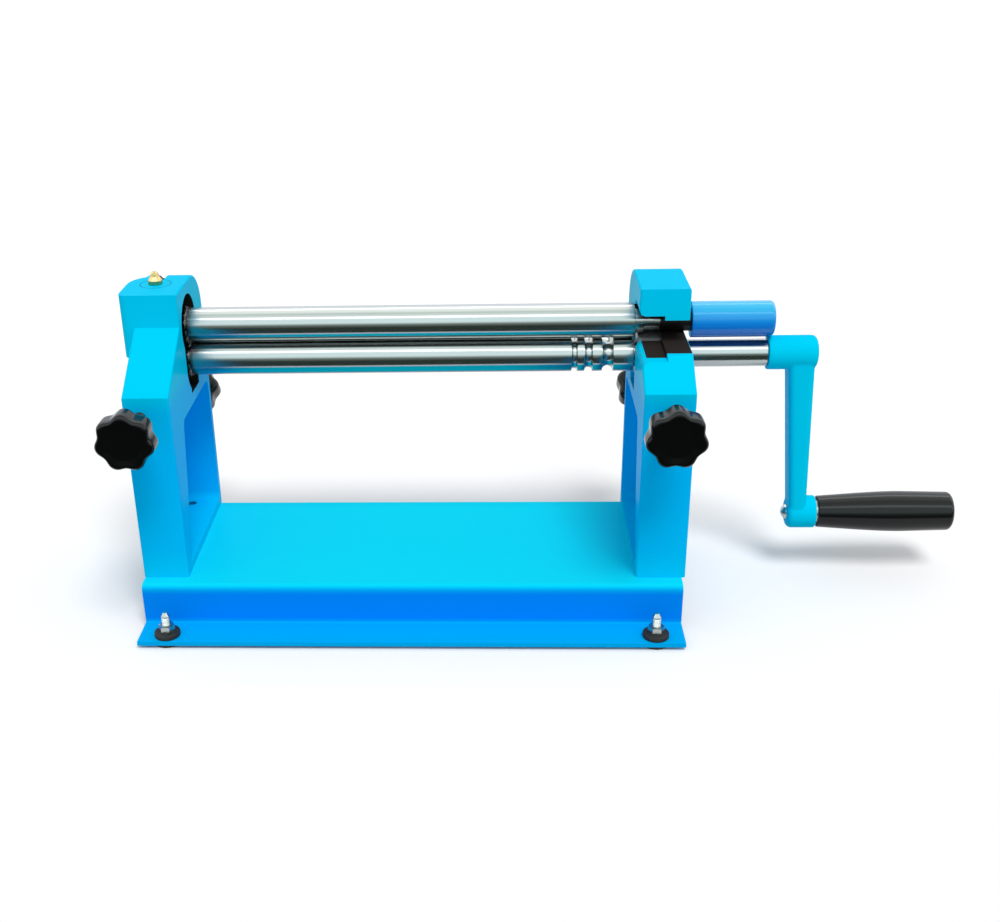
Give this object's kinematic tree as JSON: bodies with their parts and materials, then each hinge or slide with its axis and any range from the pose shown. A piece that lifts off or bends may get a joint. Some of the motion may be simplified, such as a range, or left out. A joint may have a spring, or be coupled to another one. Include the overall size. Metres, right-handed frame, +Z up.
{
  "type": "slip roll machine",
  "caption": "Hand-cranked bench slip roll: a geared pinch pair, a swing-out upper roll, a rear bending roll on slanted slides, hollow cast side frames and a bent sheet base.",
  "frame": {"origin": "on the bench, under the middle of the overall box", "axes": "+X along the rolls towards the crank, +Y from the operator to the back, +Z up"},
  "size_m": [0.5908, 0.2225, 0.235],
  "materials": {
    "enamel": "gloss sky blue enamel",
    "roll_steel": "ground and polished steel",
    "machined_steel": "machined steel",
    "zinc": "bright zinc plate",
    "black_oxide": "black oxide steel",
    "black_plastic": "glossy moulded plastic",
    "rubber": "matt rubber",
    "brass": "polished brass",
    "bronze": "oiled bronze"
  },
  "bodies": {
    "frame": {"base_plate": "enamel", "foot_pads": "rubber", "foot_washers": "rubber", "foot_nuts": "zinc", "foot_studs": "zinc", "frame_bolts": "zinc", "frame_bolt_washers": "zinc", "left_side_frame": "enamel", "right_side_frame": "enamel"},
    "upper_swivel": {"swivel_trunnion": "enamel", "oiler": "brass", "upper_left_bush": "bronze", "upper_right_bush": "black_oxide", "release_bar": "enamel", "release_bar_screw": "black_oxide"},
    "upper_roll": {"upper_roll": "roll_steel", "upper_gear": "machined_steel", "upper_gear_key": "machined_steel"},
    "lower_carriage": {"lower_left_block": "machined_steel", "lower_right_block": "machined_steel", "lower_left_bush": "bronze", "lower_right_bush": "bronze"},
    "drive_roll": {"lower_roll": "roll_steel", "lower_gear": "machined_steel", "lower_gear_key": "machined_steel", "shaft_sleeve": "zinc", "crank_arm": "enamel", "crank_set_screw": "black_oxide"},
    "crank_handle": {"handle_grip": "black_plastic", "handle_screw": "zinc", "handle_washer": "zinc", "handle_insert": "zinc"},
    "front_left_wedge": {"front_left_wedge": "machined_steel"},
    "front_right_wedge": {"front_right_wedge": "machined_steel"},
    "front_left_knob": {"front_left_knob": "black_plastic", "front_left_screw": "machined_steel"},
    "front_right_knob": {"front_right_knob": "black_plastic", "front_right_screw": "machined_steel"},
    "rear_carriage": {"rear_left_block": "machined_steel", "rear_right_block": "machined_steel", "rear_left_bush": "bronze", "rear_right_bush": "bronze"},
    "rear_roll": {"rear_roll": "roll_steel"},
    "rear_left_knob": {"rear_left_knob": "black_plastic", "rear_left_screw": "machined_steel"},
    "rear_right_knob": {"rear_right_knob": "black_plastic", "rear_right_screw": "machined_steel"}
  },
  "joints": [
    {"name": "front_left_wedge_slide", "type": "slide", "parent": "frame", "child": "front_left_wedge", "axis": [0, -1, 0], "range_m": [0, 0.0048]},
    {"name": "front_right_wedge_slide", "type": "slide", "parent": "frame", "child": "front_right_wedge", "axis": [0, -1, 0], "range_m": [0, 0.0048]},
    {"name": "lower_carriage_slide", "type": "slide", "parent": "frame", "child": "lower_carriage", "axis": [0, 0, -1], "range_m": [0, 0.0016]},
    {"name": "front_left_knob_turn", "type": "hinge", "parent": "front_left_wedge", "child": "front_left_knob", "pos_m": [-0.2749, 0.01316, 0.1567], "axis": [0, -1, 0], "range_deg": [0, 1382.4]},
    {"name": "front_right_knob_turn", "type": "hinge", "parent": "front_right_wedge", "child": "front_right_knob", "pos_m": [0.0761, 0.01316, 0.1567], "axis": [0, -1, 0], "range_deg": [0, 1382.4]},
    {"name": "crank_turn", "type": "hinge", "parent": "lower_carriage", "child": "drive_roll", "pos_m": [-0.0974, 0.01316, 0.1713], "axis": [1, 0, 0], "continuous": true},
    {"name": "handle_spin", "type": "hinge", "parent": "drive_roll", "child": "crank_handle", "pos_m": [0.1866, 0.01316, 0.0473], "axis": [1, 0, 0], "continuous": true},
    {"name": "upper_swing", "type": "hinge", "parent": "frame", "child": "upper_swivel", "pos_m": [-0.2749, 0.01316, 0.196], "axis": [0, 0, -1], "range_deg": [0, 6.5]},
    {"name": "upper_roll_spin", "type": "hinge", "parent": "upper_swivel", "child": "upper_roll", "pos_m": [-0.0974, 0.01316, 0.196], "axis": [1, 0, 0], "continuous": true},
    {"name": "rear_carriage_slide", "type": "slide", "parent": "frame", "child": "rear_carriage", "axis": [0, -0.7071, 0.7071], "range_m": [-0.004, 0.0056]},
    {"name": "rear_left_knob_turn", "type": "hinge", "parent": "rear_carriage", "child": "rear_left_knob", "pos_m": [-0.2749, 0.01316, 0.196], "axis": [0, -0.7071, 0.7071], "range_deg": [-1152, 1612.8]},
    {"name": "rear_right_knob_turn", "type": "hinge", "parent": "rear_carriage", "child": "rear_right_knob", "pos_m": [0.0761, 0.01316, 0.196], "axis": [0, -0.7071, 0.7071], "range_deg": [-1152, 1612.8]},
    {"name": "rear_roll_spin", "type": "hinge", "parent": "rear_carriage", "child": "rear_roll", "pos_m": [-0.0974, 0.04356, 0.16559], "axis": [1, 0, 0], "continuous": true}
  ],
  "couplings": [
    {"joint": "front_left_knob_turn", "follows": "lower_carriage_slide", "rad_per_m": 15080},
    {"joint": "front_right_knob_turn", "follows": "lower_carriage_slide", "rad_per_m": 15080},
    {"joint": "front_left_wedge_slide", "follows": "lower_carriage_slide", "ratio": 3},
    {"joint": "front_right_wedge_slide", "follows": "lower_carriage_slide", "ratio": 3},
    {"joint": "upper_roll_spin", "follows": "crank_turn", "ratio": -1},
    {"joint": "rear_left_knob_turn", "follows": "rear_carriage_slide", "rad_per_m": 5026.5},
    {"joint": "rear_right_knob_turn", "follows": "rear_carriage_slide", "rad_per_m": 5026.5}
  ]
}
